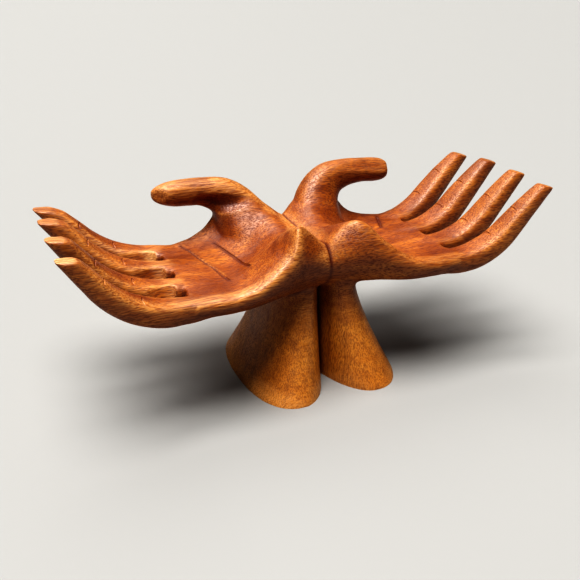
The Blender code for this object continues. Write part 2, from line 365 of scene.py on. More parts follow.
def pointsOf(data):
    co = np.empty(len(data.vertices) * 3)
    data.vertices.foreach_get("co", co)
    return co.reshape(-1, 3)


def placesOf(data, hand):  # reach, depth and height of a carving's points
    return handPlaces(pointsOf(data), hand["side"])


def normalsOf(data):
    normals = np.empty(len(data.vertices) * 3)
    data.vertex_normals.foreach_get("vector", normals)
    return normals.reshape(-1, 3)


def storeValues(data, name, values):
    attribute = data.attributes.get(name) or data.attributes.new(name, "FLOAT", "POINT")
    attribute.data.foreach_set("value", np.asarray(values, np.float32))


def storeGroup(obj, name, weights, levels=20):
    group = obj.vertex_groups.new(name=name)
    steps = np.round(weights * levels).astype(int)
    for step in range(1, levels + 1):
        found = np.flatnonzero(steps == step)
        if len(found):
            group.add(found.tolist(), step / levels, "REPLACE")


def blockTool(name, low, high):
    bm = bmesh.new()
    bmesh.ops.create_cube(bm, size=1)
    for vert in bm.verts:
        vert.co = [high[i] if vert.co[i] > 0 else low[i] for i in range(3)]
    return objectFrom(name, bm)


dowels = ("upper_dowel", "lower_dowel")
dowelHole = {"clearance": 0.0003, "sides": 32}


def dowelHoleTool(name, node):  # a round hole that clears the dowel's box all round
    low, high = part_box(node)
    spare = dowelHole["clearance"]
    bm = bmesh.new()
    radius = (high.z - low.z) / 2 + spare
    length = high.x - low.x + 2 * spare
    bmesh.ops.create_cone(
        bm, cap_ends=True, segments=dowelHole["sides"], radius1=radius, radius2=radius, depth=length
    )
    middle = (low + high) / 2
    for vert in bm.verts:
        vert.co = Vector((vert.co.z, vert.co.y, -vert.co.x)) + middle
    return objectFrom(name, bm)


slot = {
    # outwards from the slot's end, height of the wood there
    "run": (
        (0.0, 0.0692), (0.0045, 0.0692), (0.0110, 0.0696),
        (0.0180, 0.0722), (0.0250, 0.0765), (0.0320, 0.0825),
    ),
    "width": 0.0105,
    "floor": 0.0045,
    "depth": 0.0072,
    "fall": 0.0006,  # the floor falls to the far wall
    "slant": 0.0042,
    # outwards from the slot's end, how far the wall is cut back there, and how far its top leans
    "bite": ((0, 0.0140, 0.0320), (0.0000, -0.0002, -0.0028)),
    "lean": ((0, 0.0140, 0.0320), (0.0070, 0.0058, 0.0)),
    "paleRun": (0.0050, 0.0120),
    "paleBand": (0.0030, 0.0055),
    "paleFacing": (0.15, 0.45),
    "shadeEnd": 0.0012,
    "shadeBand": (0.0006, 0.0014),
    "keptBand": (0.0050, 0.0100),
}


def slotTool(name, hand):  # stop cuts that square off the slots between the fingers, with a slanting end
    bm = bmesh.new()
    shares, _, widths = np.array(finger["profile"]).T
    for far, start in zip(finger["each"].values(), hand["slotStarts"]):
        rootDepth, tipDepth, tipReach, _, size, _ = far
        rings = []
        for out, surface in slot["run"]:
            reach = start + out
            share = (reach - palm["length"]) / (tipReach - palm["length"])
            width = np.interp(share, shares, widths)
            wall = rootDepth + (tipDepth - rootDepth) * max(share, 0) - size * width / 2
            wall += np.interp(out, *slot["bite"])
            lean = np.interp(out, *slot["lean"])
            near, floor, top = wall - slot["width"], surface - slot["depth"], surface + slot["depth"]
            slant = slot["slant"] * (1 - easeStep(out, 0, slot["slant"]))
            rings.append(
                [
                    (reach + slant, wall, floor),
                    (reach, wall - slot["floor"], floor + slot["fall"]),
                    (reach, near, surface + slot["fall"]),
                    (reach, near, top),
                    (reach + slant, wall + lean, top),
                ]
            )
        addSkin(bm, rings, hand["side"])
    return objectFrom(name, bm)


def markSlots(data, hand):  # 1 on the leaning walls at the slots' ends (pale cut wood, painted lighter where they face the front), on the ends (painted shade), and round them
    where = placesOf(data, hand)
    reach, depth, height = where.T
    pale, dark, kept = np.zeros(len(where)), np.zeros(len(where)), np.zeros(len(where))
    # the walls are painted paler where they face the front: painted light on pale cut wood
    facing = easeStep(-normalsOf(data)[:, 1], *slot["paleFacing"])
    surface = slot["run"][0][1]
    level = (height > surface - slot["depth"] - slot["fall"]) * (height < surface + slot["depth"])
    rootWidth = finger["profile"][0][2]
    for far, start, share in zip(finger["each"].values(), hand["slotStarts"], hand["slotPale"]):
        rootDepth, _, _, _, size, _ = far
        wall = rootDepth - size * rootWidth / 2
        out, gap = reach - start, depth - wall
        onWall = level * (1 - easeStep(np.abs(gap - slot["paleBand"][0]), *slot["paleBand"]))
        alongWall = easeStep(out, slot["slant"] / 2, slot["slant"]) * (1 - easeStep(out, *slot["paleRun"]))
        pale = np.maximum(pale, onWall * alongWall * facing * share)
        # painted shade on the end facets of the slots
        offEnd = np.abs(out - slot["slant"] * np.clip(1 + gap / slot["floor"], 0, 1))
        inSlot = (gap > -slot["width"] / 2) * (gap < slot["shadeEnd"])
        dark = np.maximum(dark, level * (1 - easeStep(offEnd, *slot["shadeBand"])) * inSlot)
        middle = (start + slot["slant"] / 2, wall - slot["floor"] / 2, surface)
        kept = np.maximum(kept, 1 - easeStep(np.linalg.norm(where - middle, axis=1), *slot["keptBand"]))
    return pale, dark, kept


blends = {
    # centre and spread of each
    "round": {
        "thumbRoot": ((0.0300, 0.0340, 0.0830), (0.0300, 0.0220, 0.0240)),
        "heel": ((0.0180, -0.0270, 0.0900), (0.0220, 0.0170, 0.0150)),
        "rim": ((0.0740, -0.0365, 0.0670), (0.0160, 0.0110, 0.0120)),
        "indexRoot": ((0.0745, 0.0440, 0.0640), (0.0170, 0.0120, 0.0150)),
    },
    "roundCore": 0.35,  # shares of the spread that are blended in full
    "bandCore": 0.3,
    "rootReach": 0.0765,
    "rootSpread": 0.0140,
    "rootTop": (0.0590, 0.0640),
    "neckHeight": 0.0570,
    "neckSpread": 0.0180,
    "neckReach": (0.0300, 0.0480),
}


def growTogether(data, hand):  # 1 where the thumb, heel, wrist and fingers run into each other
    b = blends
    where = placesOf(data, hand)
    reach, _, height = where.T
    neck = 1 - easeStep(np.abs(height - b["neckHeight"]) / b["neckSpread"], b["bandCore"], 1)
    neck *= 1 - easeStep(reach, *b["neckReach"])
    roots = 1 - easeStep(np.abs(reach - b["rootReach"]) / b["rootSpread"], b["bandCore"], 1)
    roots *= 1 - easeStep(height, *b["rootTop"])
    weight = np.maximum(neck * hand["neckBlend"], roots)
    for key, (centre, spread) in b["round"].items():
        near = 1 - easeStep(np.linalg.norm((where - centre) / spread, axis=1), b["roundCore"], 1)
        weight = np.maximum(weight, near * hand["blend"][key])
    return weight


def pressValleys(data, hand):  # soft hollows along drawn lines
    if not hand["valleys"]:
        return
    co, where, normals = pointsOf(data), placesOf(data, hand), normalsOf(data)
    for line in hand["valleys"]:
        path = pathThrough(line["through"], carving["lineSteps"])
        span = np.full(len(co), np.inf)
        level = np.zeros(len(co))
        for point, share in zip(path, np.linspace(0, 1, len(path))):
            gap = np.linalg.norm(where - point, axis=1)
            closer = gap < span
            span[closer] = gap[closer]
            level[closer] = np.interp(share, *line["fade"])
        co -= normals * (line["depth"] * level * (1 - easeStep(span, 0, line["width"])))[:, None]
    data.vertices.foreach_set("co", co.ravel())
    data.update()


def joinNodes(tree, *pairs):
    for source, target in pairs:
        tree.links.new(source, target)


def addNode(tree, kind, inputs=None, **settings):
    node = tree.nodes.new(kind)
    for key, value in settings.items():
        setattr(node, key, value)
    for key, value in (inputs or {}).items():
        if isinstance(value, bpy.types.NodeSocket):
            tree.links.new(value, node.inputs[key])
        else:
            node.inputs[key].default_value = value
    return node


def reckon(tree, operation, a, b):
    return addNode(tree, "ShaderNodeMath", {0: a, 1: b}, operation=operation).outputs[0]


def times(tree, a, b):
    return reckon(tree, "MULTIPLY", a, b)


def plus(tree, a, b):
    return reckon(tree, "ADD", a, b)


def newTree(name, inputs):
    tree = bpy.data.node_groups.new(name, "GeometryNodeTree")
    tree.interface.new_socket("Geometry", in_out="INPUT", socket_type="NodeSocketGeometry")
    for label, kind in inputs.items():
        tree.interface.new_socket(label, in_out="INPUT", socket_type="NodeSocket" + kind)
    tree.interface.new_socket("Geometry", in_out="OUTPUT", socket_type="NodeSocketGeometry")
    return tree, addNode(tree, "NodeGroupInput").outputs, addNode(tree, "NodeGroupOutput").inputs


def meshValue(tree, name):
    node = addNode(tree, "GeometryNodeInputNamedAttribute", {"Name": name}, data_type="FLOAT")
    return node.outputs["Attribute"]


def endTree(tree, shape, finish, result):
    real = addNode(tree, "GeometryNodeRealizeInstances", {"Geometry": shape})
    made = addNode(tree, "GeometryNodeSetMaterial", {"Geometry": real.outputs[0], "Material": finish})
    joinNodes(tree, (made.outputs[0], result[0]))


def useTree(obj, tree, values):
    modifier = obj.modifiers.new(tree.name, "NODES")
    modifier.node_group = tree
    for item in tree.interface.items_tree:
        if item.in_out == "INPUT" and item.name in values:
            modifier[item.identifier] = values[item.name]


toolMarks = {
    "elsewhere": 0.35,  # share of the scoops' depth outside the palm
    "palmFacing": (0.2, 0.7),
    "palmHeight": (0.062, 0.066),
    "palmReach": (0.070, 0.085),
    "softness": 0.35,
    "scoopRest": 1.0,  # the values of the patterns that leave the surface where it is
    "driftRest": 0.6,
    "driftDetail": 2.0,
    "tree": {
        "Scoop Depth": 0.00035,
        "Scoop Length": 0.0120,
        "Scoop Width": 0.0050,
        "Drift Depth": 0.0005,
        "Drift Size": 0.0160,
    },
}


def markScoops(data, hand):  # the palm shows the gouge more than the rest
    reach, _, height = placesOf(data, hand).T
    inPalm = easeStep(normalsOf(data)[:, 2], *toolMarks["palmFacing"])
    inPalm = inPalm * easeStep(height, *toolMarks["palmHeight"])
    inPalm *= 1 - easeStep(reach, *toolMarks["palmReach"])
    storeValues(data, "scooped", toolMarks["elsewhere"] + (1 - toolMarks["elsewhere"]) * inPalm)


def toolMarkTree():  # shallow scoops of a gouge and the slow drift of a hand-held tool, along the surface
    labels = {**dict.fromkeys(toolMarks["tree"], "Float"), "Seed": "Float", "Finish": "Material"}
    tree, given, result = newTree("toolMarks", labels)
    place = addNode(tree, "GeometryNodeInputPosition").outputs[0]
    normal = addNode(tree, "GeometryNodeInputNormal").outputs[0]
    length, width = given["Scoop Length"], given["Scoop Width"]
    cell = addNode(tree, "ShaderNodeCombineXYZ", {0: length, 1: width, 2: width}).outputs[0]
    stretched = addNode(tree, "ShaderNodeVectorMath", {0: place, 1: cell}, operation="DIVIDE").outputs[0]
    scoops = addNode(
        tree, "ShaderNodeTexVoronoi",
        {"Vector": stretched, "W": given["Seed"], "Scale": 1.0, "Smoothness": toolMarks["softness"]},
        voronoi_dimensions="4D", feature="SMOOTH_F1",
    ).outputs["Distance"]
    scoopDepth = times(tree, given["Scoop Depth"], meshValue(tree, "scooped"))
    scooped = times(tree, reckon(tree, "SUBTRACT", scoops, toolMarks["scoopRest"]), scoopDepth)
    fineness = reckon(tree, "DIVIDE", 1.0, given["Drift Size"])
    drift = addNode(
        tree, "ShaderNodeTexNoise",
        {"Vector": place, "W": given["Seed"], "Scale": fineness, "Detail": toolMarks["driftDetail"]},
        noise_dimensions="4D",
    ).outputs[0]
    drifted = times(tree, reckon(tree, "SUBTRACT", drift, toolMarks["driftRest"]), given["Drift Depth"])
    total = plus(tree, scooped, drifted)
    offset = addNode(tree, "ShaderNodeVectorMath", {0: normal, "Scale": total}, operation="SCALE").outputs[0]
    moved = addNode(tree, "GeometryNodeSetPosition", {"Geometry": given["Geometry"], "Offset": offset})
    endTree(tree, moved.outputs[0], given["Finish"], result)
    return tree


crease = {
    "sides": 12,
    "lift": 0.50,
    "fade": ((0, 0.25, 0.92, 1), (0.45, 1, 1, 0.80)),
    "shadeBand": (0.0010, 0.0019),
}
knuckle = {"joints": ((0.1000, 0.0765), (0.1168, 0.0880)), "bend": 0.0008, "bite": 0.0007}


def gougeTree():  # round-bottomed cuts that follow drawn lines, as wide as each point's bite
    tree, given, result = newTree("gougeCuts", {"Sides": "Int", "Finish": "Material"})
    lines = addNode(tree, "GeometryNodeMeshToCurve", {"Mesh": given["Geometry"]}).outputs[0]
    section = addNode(
        tree, "GeometryNodeCurvePrimitiveCircle", {"Resolution": given["Sides"], "Radius": 1.0}, mode="RADIUS"
    ).outputs[0]
    swept = addNode(
        tree, "GeometryNodeCurveToMesh",
        {"Curve": lines, "Profile Curve": section, "Scale": meshValue(tree, "bite"), "Fill Caps": True},
    )
    endTree(tree, swept.outputs[0], given["Finish"], result)
    return tree


def drawLine(surface, side, through, bite):  # a cut laid along the carving, fading out at both ends
    path = pathThrough(through, carving["lineSteps"])
    share = np.linspace(0, 1, len(path))
    widths = np.interp(share, (0, 1), bite) * np.interp(share, *crease["fade"])
    points = []
    for place, width in zip(path, widths):
        point, normal, _, _ = surface.find_nearest(Vector(standPlace(side, *place)))
        points.append(point + normal * width * crease["lift"])
    return points, widths


def knuckleLines(hand):  # a nick across the palm side of each finger at both its joints
    start, end = hand["knuckleSpan"]
    lines = []
    for rootDepth, tipDepth, tipReach, _, _, _ in finger["each"].values():
        for reach, height in knuckle["joints"]:
            depth = np.interp(reach, (palm["length"], tipReach), (rootDepth, tipDepth))
            bent = (reach + knuckle["bend"], depth + (start + end) / 2, height)
            through = ((reach, depth + start, height), bent, (reach, depth + end, height))
            lines.append({"through": through, "bite": (knuckle["bite"], knuckle["bite"])})
    return lines


def creaseTool(name, hand, carved, tree, finish):  # gives the places of the palm's creases too
    surface = BVHTree.FromPolygons([v.co for v in carved.vertices], [p.vertices for p in carved.polygons])
    places, edges, bites = [], [], []
    for line in (*hand["creases"], *knuckleLines(hand)):
        points, bite = drawLine(surface, hand["side"], line["through"], line["bite"])
        edges += [(len(places) + i, len(places) + i + 1) for i in range(len(points) - 1)]
        places += points
        bites += list(bite)
    data = bpy.data.meshes.new(name)
    data.from_pydata(places, edges, [])
    storeValues(data, "bite", bites)
    obj = addObject(name, data)
    useTree(obj, tree, {"Sides": crease["sides"], "Finish": finish})
    settle(obj)
    inPalm = np.array(places[: len(hand["creases"]) * carving["lineSteps"]])
    return obj, handPlaces(inPalm, hand["side"])


# settings of the pale layer (wear with painted sheen) and of the painted shade
paleAndShadeMarks = {
    "nearRounds": 8,
    "farRounds": 25,
    "crestRounds": 60,
    "nearEdge": (0.00013, 0.00034),
    "farEdge": (0.00024, 0.00052),
    "crestEdge": (0.00025, 0.00085),
    "fingers": (0.0820, 0.1000),
    "fingerShare": 0.4,
    "tips": (0.1180, 0.1340),
    "tipsKept": 0.75,
    "nearHollow": (0.00008, 0.00034),
    "farHollow": (0.00012, 0.00050),
    "facingUp": (-0.35, 0.35),
    "joint": (0.0003, 0.0016),
    "tipBand": (0.00025, 0.00075),
    "tipRun": 2,  # times the length of the tip's flat
    "slotCut": 0.7,
    "rimRun": (0.30, 1.00),
    "rimBand": (0.0020, 0.0065),
    "ridgeBand": (0.0020, 0.0075),
}


def measureStandOut(data, rounds):  # how far each point stands out of the surface around it
    co = pointsOf(data)
    ends = np.empty(len(data.edges) * 2, int)
    data.edges.foreach_get("vertices", ends)
    a, b = ends.reshape(-1, 2).T
    count = np.bincount(a, minlength=len(co)) + np.bincount(b, minlength=len(co))
    relaxed = co.copy()
    for _ in range(rounds):
        sums = [
            np.bincount(a, relaxed[b, i], len(co)) + np.bincount(b, relaxed[a, i], len(co)) for i in range(3)
        ]
        relaxed = np.stack(sums, axis=1) / np.maximum(count, 1)[:, None]
    return np.sum((co - relaxed) * normalsOf(data), axis=1)


def nearPoints(data, hand, points, band):
    where = placesOf(data, hand)
    gap = np.full(len(where), np.inf)
    for point in points:
        gap = np.minimum(gap, np.linalg.norm(where - point, axis=1))
    return 1 - easeStep(gap, *band)


def nearRim(data, hand):  # 1 along the palm's front rim, from below the heel to the little finger
    table = np.array(hand["palm"])
    shares = np.linspace(*paleAndShadeMarks["rimRun"], carving["sectionSteps"])
    _, ridge, _, _, frontRim, *_ = smoothThrough(table[:, 0], table[:, 1:], shares).T
    rim = np.stack([shares * palm["length"], ridge, frontRim], axis=1)
    return nearPoints(data, hand, rim, paleAndShadeMarks["rimBand"])


def nearRidges(data, hand):  # how pale the drawn ridges are painted: rubbed wear, with painted sheen
    found = np.zeros(len(data.vertices))
    for line in hand["paleRidgeLines"]:
        path = pathThrough(line["through"], carving["sectionSteps"])
        found = np.maximum(found, nearPoints(data, hand, path, paleAndShadeMarks["ridgeBand"]) * line["share"])
    return found


def tipCut(data, hand):  # the paleness of the sloping cuts at the fingertips: pale cut wood with a painted glare, strongest on the little finger
    tip = hand["tip"]
    reach, depth, height = placesOf(data, hand).T
    found = np.zeros(len(reach))
    for key, (_, tipDepth, tipReach, tipHeight, _, _) in finger["each"].items():
        out, up = reach - tipReach, height - tipHeight - tip["spare"]
        above = out * math.sin(tip["tilt"]) + up * math.cos(tip["tilt"])
        along = out * math.cos(tip["tilt"]) - up * math.sin(tip["tilt"])
        near = np.abs(depth - tipDepth) < finger["cutWidth"] / 2
        near = near * (along > -paleAndShadeMarks["tipRun"] * tip["flat"])
        found = np.maximum(found, near * (1 - easeStep(np.abs(above), *paleAndShadeMarks["tipBand"])) * tip["pale"][key])
    return found


# ridges that hands rub pale, with painted sheen on broad crests; painted shade in hollows, creases and the
# slots' ends; the glue joint kept dark
def storePaleAndShade(data, hand, creasePlaces):
    near, far, crest = (measureStandOut(data, paleAndShadeMarks[key]) for key in ("nearRounds", "farRounds", "crestRounds"))
    reach = placesOf(data, hand)[:, 0]
    offJoint = easeStep(reach, *paleAndShadeMarks["joint"])
    # the pale layer is kept to faces turned upward: a painted top light
    turnedUp = easeStep(normalsOf(data)[:, 2], *paleAndShadeMarks["facingUp"])
    onFingers = easeStep(reach, *paleAndShadeMarks["fingers"])
    # broad crests painted pale: wear with painted sheen
    crestShare = hand["crestWearAndSheen"] * (1 - onFingers * (1 - paleAndShadeMarks["fingerShare"]))
    paleLayer = np.maximum.reduce(
        [
            easeStep(near, *paleAndShadeMarks["nearEdge"]) * hand["rub"],
            easeStep(far, *paleAndShadeMarks["farEdge"]) * hand["rub"],
            easeStep(crest, *paleAndShadeMarks["crestEdge"]) * crestShare,
            nearRim(data, hand) * hand["rimWearAndLight"],
            nearRidges(data, hand),
        ]
    )
    paleLayer *= 1 - paleAndShadeMarks["tipsKept"] * easeStep(reach, *paleAndShadeMarks["tips"])
    # painted shade in the hollows
    shaded = np.maximum(easeStep(-near, *paleAndShadeMarks["nearHollow"]), easeStep(-far, *paleAndShadeMarks["farHollow"]))
    pale, dark, kept = markSlots(data, hand)
    # painted shade in the palm's creases
    inCreases = nearPoints(data, hand, creasePlaces, crease["shadeBand"])
    paleLayer = np.maximum(paleLayer * (1 - kept), pale) * (1 - inCreases)
    shaded = np.maximum.reduce([shaded * (1 - pale), dark, inCreases])
    storeValues(data, "wearAndSheen", paleLayer * turnedUp * offJoint)
    storeValues(data, "paintedShadeAndJoint", np.maximum(shaded, 1 - offJoint))
    storeValues(data, "tip", np.maximum(tipCut(data, hand), pale * paleAndShadeMarks["slotCut"]))


# side: the way that the fingers point along X, and seed: of the tool marks
# neckBlend and blend: shares of the further smoothing at the places in blends
# rub, then the rim's and the crests' shares: paleness of sharp ridges, of the palm's front rim (wear and
# painted light) and of broad crests (wear and painted sheen)
# tip: slope of the fingertips' cut, how far it runs flat, radius of its roll over to the palm side and
# how far that turns, the wood left above the tip's place, and the cut's paleness: pale cut wood with a
# painted glare
# palm rows: share of the length, depth of the front edge, front rim, heel lobe and back edge,
# then height of the front rim, heel lobe, bowl, thumb mound, back rim and underside
# thumb rows: reach, depth and height of the section's centre, half its thickness, half its breadth
# thumbPads and thumbFlats: a place on a flat at the thumb's side or across its end, and the way it faces
# the pale ridge lines: ridges painted pale for rubbed wear and painted sheen, and valleys: soft hollows, both
# drawn through points
# slotStarts and slotPale: where the slots between the fingers end, and the paleness of their walls
# knuckleSpan: the nicks' ends from the middle of a finger, and creases: the cuts in the palm
hands = {
    "left_hand": {
        "side": -1,
        "seed": 3.0,
        "fingerBend": math.radians(57),
        "heelHalfDepth": 0.0270,
        "neckBlend": 0.15,
        "smoothing": 12,
        "blend": {"thumbRoot": 1.0, "heel": 0.0, "rim": 0.3, "indexRoot": 1.0},
        "rub": 1.0,
        "rimWearAndLight": 0.75,
        "crestWearAndSheen": 0.70,
        "tip": {
            "tilt": math.radians(-4), "flat": 0.0085, "roll": 0.0030, "turn": math.radians(14),
            "spare": 0.0006, "pale": {"index": 0.20, "middle": 0.35, "ring": 0.55, "little": 1.0},
        },
        "palm": (
            (-0.05, -0.0310, -0.0270, -0.0170, 0.0440, 0.0785, 0.0800, 0.0795, 0.0780, 0.0765, 0.0580),
            (0.05, -0.0325, -0.0265, -0.0170, 0.0455, 0.0850, 0.0840, 0.0805, 0.0815, 0.0815, 0.0580),
            (0.13, -0.0340, -0.0265, -0.0185, 0.0475, 0.0913, 0.0895, 0.0815, 0.0855, 0.0870, 0.0580),
            (0.20, -0.0352, -0.0280, -0.0205, 0.0495, 0.0950, 0.0935, 0.0810, 0.0885, 0.0920, 0.0580),
            (0.235, -0.0360, -0.0305, -0.0215, 0.0505, 0.0940, 0.0945, 0.0800, 0.0890, 0.0940, 0.0580),
            (0.27, -0.0368, -0.0333, -0.0205, 0.0515, 0.0890, 0.0915, 0.0780, 0.0890, 0.0955, 0.0580),
            (0.32, -0.0377, -0.0352, -0.0180, 0.0525, 0.0835, 0.0872, 0.0750, 0.0875, 0.0965, 0.0580),
            (0.40, -0.0390, -0.0366, -0.0150, 0.0530, 0.0793, 0.0802, 0.0710, 0.0820, 0.0940, 0.0580),
            (0.49, -0.0402, -0.0378, -0.0150, 0.0522, 0.0755, 0.0742, 0.0685, 0.0755, 0.0855, 0.0575),
            (0.58, -0.0410, -0.0384, -0.0170, 0.0510, 0.0722, 0.0700, 0.0672, 0.0712, 0.0772, 0.0570),
            (0.70, -0.0412, -0.0386, -0.0190, 0.0495, 0.0698, 0.0686, 0.0676, 0.0695, 0.0715, 0.0565),
            (0.84, -0.0409, -0.0382, -0.0200, 0.0475, 0.0694, 0.0690, 0.0688, 0.0693, 0.0694, 0.0562),
            (1.00, -0.0404, -0.0376, -0.0200, 0.0448, 0.0692, 0.0692, 0.0694, 0.0694, 0.0684, 0.0570),
        ),
        "thumb": (
            (0.0190, 0.0220, 0.0640, 0.0170, 0.0130),
            (0.0220, 0.0330, 0.0740, 0.0165, 0.0125),
            (0.0270, 0.0425, 0.0848, 0.0143, 0.0110),
            (0.0345, 0.0470, 0.0927, 0.0113, 0.0096),
            (0.0460, 0.0485, 0.0964, 0.0083, 0.0086),
            (0.0545, 0.0485, 0.0971, 0.0078, 0.0082),
            (0.0620, 0.0484, 0.0973, 0.0075, 0.0078),
            (0.0682, 0.0483, 0.0975, 0.0064, 0.0070),
            (0.0722, 0.0482, 0.0977, 0.0050, 0.0057),
            (0.0748, 0.0482, 0.0978, 0.0034, 0.0040),
            (0.0761, 0.0482, 0.0978, 0.0015, 0.0018),
        ),
        "thumbPads": (),
        "thumbFlats": (((0.0725, 0.0446, 0.0975), (0.60, -0.78, 0.10)),),
        "valleys": (
            {
                "through": (
                    (0.0480, 0.0400, 0.0920), (0.0408, 0.0402, 0.0912), (0.0328, 0.0372, 0.0910),
                    (0.0240, 0.0362, 0.0900), (0.0180, 0.0360, 0.0880),
                ),
                "depth": 0.0030,
                "width": 0.0068,
                "fade": ((0, 0.15, 0.6, 1), (0.7, 1, 0.8, 0.15)),
            },
        ),
        "paleRidgeLines": (
            {
                "through": (
                    (0.0390, 0.0450, 0.1035), (0.0317, 0.0435, 0.1022), (0.0260, 0.0412, 0.0998),
                    (0.0221, 0.0390, 0.0970), (0.0187, 0.0385, 0.0945), (0.0151, 0.0385, 0.0919),
                    (0.0122, 0.0352, 0.0883), (0.0101, 0.0311, 0.0857),
                ),
                "share": 1.0,
            },
            {
                "through": (
                    (0.0770, -0.0376, 0.0692), (0.0870, -0.0385, 0.0694), (0.0965, -0.0391, 0.0708),
                    (0.1091, -0.0386, 0.0775), (0.1174, -0.0379, 0.0852), (0.1260, -0.0365, 0.0940),
                ),
                "share": 0.75,
            },
        ),
        "slotStarts": (0.0768, 0.0772, 0.0776),
        "slotPale": (0.9, 0.4, 0.3),
        "knuckleSpan": (-0.0080, 0.0010),
        "creases": (
            {
                "through": (
                    (0.0640, 0.0360, 0.0694), (0.0608, 0.0260, 0.0690), (0.0574, 0.0114, 0.0680),
                    (0.0545, 0.0010, 0.0670), (0.0528, -0.0180, 0.0680),
                ),
                "bite": (0.0008, 0.0017),
            },
            {
                "through": (
                    (0.0455, 0.0310, 0.0702), (0.0421, 0.0192, 0.0690),
                    (0.0392, 0.0068, 0.0680), (0.0392, -0.0130, 0.0720),
                ),
                "bite": (0.0008, 0.0015),
            },
        ),
    },
    "right_hand": {
        "side": 1,
        "seed": 8.0,
        "fingerBend": math.radians(48),
        "heelHalfDepth": 0.0315,
        "neckBlend": 1.0,
        "smoothing": 26,
        "blend": {"thumbRoot": 1.0, "heel": 0.8, "rim": 0.3, "indexRoot": 1.0},
        "rub": 0.55,
        "rimWearAndLight": 0.55,
        "crestWearAndSheen": 0.35,
        "tip": {
            "tilt": math.radians(18), "flat": 0.0075, "roll": 0.0050, "turn": math.radians(40),
            "spare": 0.0012, "pale": {"index": 0.3, "middle": 0.3, "ring": 0.3, "little": 0.3},
        },
        "palm": (
            (-0.05, -0.0310, -0.0270, -0.0170, 0.0440, 0.0765, 0.0780, 0.0785, 0.0775, 0.0760, 0.0580),
            (0.03, -0.0322, -0.0265, -0.0170, 0.0455, 0.0850, 0.0835, 0.0800, 0.0805, 0.0800, 0.0580),
            (0.10, -0.0335, -0.0262, -0.0170, 0.0470, 0.0895, 0.0880, 0.0815, 0.0845, 0.0850, 0.0580),
            (0.17, -0.0348, -0.0268, -0.0180, 0.0485, 0.0930, 0.0915, 0.0818, 0.0875, 0.0895, 0.0580),
            (0.23, -0.0360, -0.0282, -0.0190, 0.0505, 0.0942, 0.0922, 0.0808, 0.0885, 0.0925, 0.0580),
            (0.285, -0.0370, -0.0300, -0.0195, 0.0518, 0.0925, 0.0900, 0.0780, 0.0882, 0.0940, 0.0580),
            (0.34, -0.0380, -0.0320, -0.0190, 0.0526, 0.0887, 0.0860, 0.0750, 0.0870, 0.0948, 0.0580),
            (0.40, -0.0390, -0.0335, -0.0175, 0.0530, 0.0840, 0.0805, 0.0720, 0.0835, 0.0940, 0.0580),
            (0.47, -0.0400, -0.0352, -0.0160, 0.0528, 0.0795, 0.0752, 0.0696, 0.0785, 0.0890, 0.0576),
            (0.535, -0.0408, -0.0368, -0.0160, 0.0522, 0.0756, 0.0720, 0.0680, 0.0742, 0.0820, 0.0572),
            (0.615, -0.0412, -0.0380, -0.0170, 0.0512, 0.0724, 0.0698, 0.0675, 0.0705, 0.0745, 0.0568),
            (0.725, -0.0412, -0.0384, -0.0190, 0.0498, 0.0704, 0.0690, 0.0680, 0.0694, 0.0706, 0.0564),
            (0.86, -0.0409, -0.0382, -0.0200, 0.0475, 0.0697, 0.0690, 0.0690, 0.0694, 0.0693, 0.0562),
            (1.00, -0.0404, -0.0376, -0.0200, 0.0448, 0.0695, 0.0692, 0.0694, 0.0694, 0.0684, 0.0570),
        ),
        "thumb": (
            (0.0175, 0.0220, 0.0640, 0.0165, 0.0130),
            (0.0205, 0.0330, 0.0740, 0.0160, 0.0125),
            (0.0255, 0.0425, 0.0850, 0.0140, 0.0110),
            (0.0340, 0.0472, 0.0938, 0.0112, 0.0097),
            (0.0460, 0.0485, 0.0973, 0.0086, 0.0086),
            (0.0580, 0.0485, 0.0977, 0.0075, 0.0079),
            (0.0660, 0.0483, 0.0972, 0.0075, 0.0077),
            (0.0718, 0.0482, 0.0970, 0.0069, 0.0071),
            (0.0748, 0.0482, 0.0970, 0.0055, 0.0059),
            (0.0768, 0.0482, 0.0970, 0.0037, 0.0041),
            (0.0778, 0.0482, 0.0970, 0.0016, 0.0019),
        ),
        "thumbPads": (((0.0700, 0.0442, 0.1008), (0.118, -0.72, 0.69)),),
        "thumbFlats": (((0.0766, 0.0475, 0.0970), (0.95, -0.30, 0.05)),),
        "valleys": (),
        "paleRidgeLines": (),
        "slotStarts": (),
        "slotPale": (),
        "knuckleSpan": (-0.0020, 0.0056),
        "creases": (
            {
                "through": ((0.0648, 0.0362, 0.0698), (0.0628, 0.0306, 0.0693), (0.0591, 0.0201, 0.0687)),
                "bite": (0.0007, 0.0012),
            },
            {
                "through": (
                    (0.0455, 0.0310, 0.0702), (0.0421, 0.0192, 0.0690),
                    (0.0392, 0.0068, 0.0685), (0.0392, -0.0120, 0.0720),
                ),
                "bite": (0.0007, 0.0012),
            },
        ),
    },
}


def fuseSkins(name, hand):  # the lofted skins become one closed shape, and the slots are cut
    bm = bmesh.new()
    skins = [forearmRings(hand["heelHalfDepth"]), palmRings(hand["palm"]), thumbRings(hand)]
    skins += [fingerRings(hand, *sizes) for sizes in finger["each"].values()]
    for rings in skins:
        addSkin(bm, rings, hand["side"])
    obj = objectFrom(name + "Carving", bm)
    fuse = {"mode": "VOXEL", "voxel_size": carving["voxel"]}
    addModifier(obj, "fuse", "REMESH", **fuse)
    tools = [slotTool(name + "Slots", hand)] if hand["slotStarts"] else []
    for tool in tools:
        addCut(obj, tool, "DIFFERENCE")
        addModifier(obj, "refuse", "REMESH", **fuse)
    settle(obj)
    putAway(tools)
    return obj


